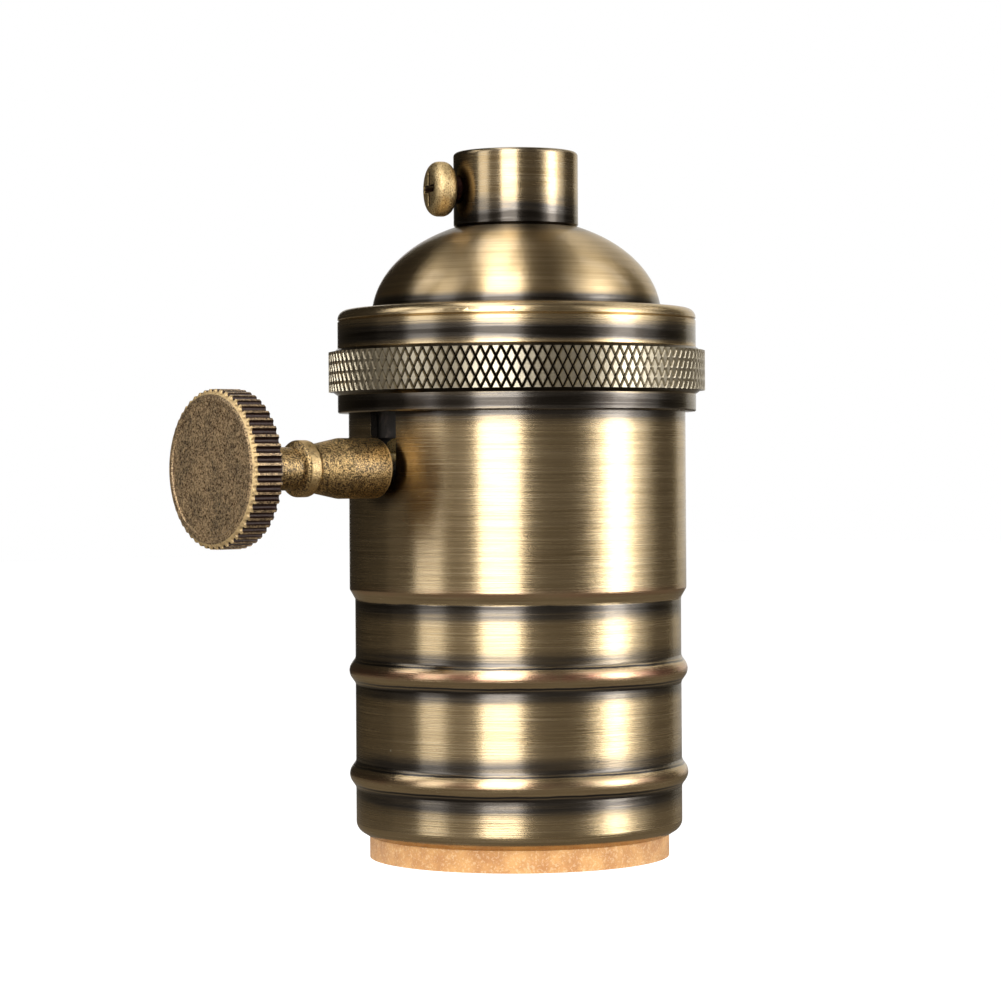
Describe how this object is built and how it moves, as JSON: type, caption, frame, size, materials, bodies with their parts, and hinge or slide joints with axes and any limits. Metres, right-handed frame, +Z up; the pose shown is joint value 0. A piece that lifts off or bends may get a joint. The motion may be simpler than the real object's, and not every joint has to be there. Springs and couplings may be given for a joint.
{
  "type": "lamp holder",
  "caption": "Keyed screw-type lamp holder: dome cap with threaded neck, knurled union collar, beaded barrel with fibre sleeve, and a side knob that turns a rotary switch.",
  "frame": {"origin": "centre of the screw shell's mouth, where the lamp cap enters", "axes": "+Z up the holder's axis towards the threaded neck; the switch knob stands out along -X"},
  "size_m": [0.0591, 0.04, 0.0747],
  "materials": {
    "antique_brass": "brushed, dark antique patina",
    "knob_bronze": "mottled antique bronze",
    "fibre_paper": "raw vulcanised fibre",
    "shell_brass": "drawn, bright",
    "spring_brass": "rolled strip",
    "brass_screw": "turned",
    "plated_screw": "zinc plated",
    "spring_steel": "blued strip",
    "black_phenolic": "moulded phenolic"
  },
  "bodies": {
    "holder": {"neck_bushing": "antique_brass", "neck_screw": "antique_brass", "dome_cap": "antique_brass", "knurled_collar": "antique_brass", "barrel": "antique_brass", "insulating_sleeve": "fibre_paper", "screw_shell": "shell_brass", "contact_base": "black_phenolic", "switch_block": "black_phenolic", "cavity_cover": "fibre_paper", "centre_tongue": "spring_brass", "centre_riser": "spring_brass", "centre_rivet": "shell_brass", "shell_rivet_neutral": "shell_brass", "shell_rivet_plain": "shell_brass", "live_terminal": "spring_brass", "live_terminal_screw": "brass_screw", "neutral_strip": "spring_brass", "neutral_terminal_screw": "plated_screw", "block_screw_far": "plated_screw", "block_screw_near": "plated_screw", "detent_spring": "spring_steel", "shaft_bushing": "shell_brass"},
    "key": {"knob": "knob_bronze", "switch_shaft": "plated_screw", "switch_rotor": "black_phenolic", "contact_ring": "spring_brass", "shaft_clip": "spring_steel"}
  },
  "joints": [
    {"name": "knob_turn", "type": "hinge", "parent": "holder", "child": "key", "pos_m": [-0.03914, 0, 0.0387], "axis": [-1, 0, 0], "continuous": true}
  ]
}
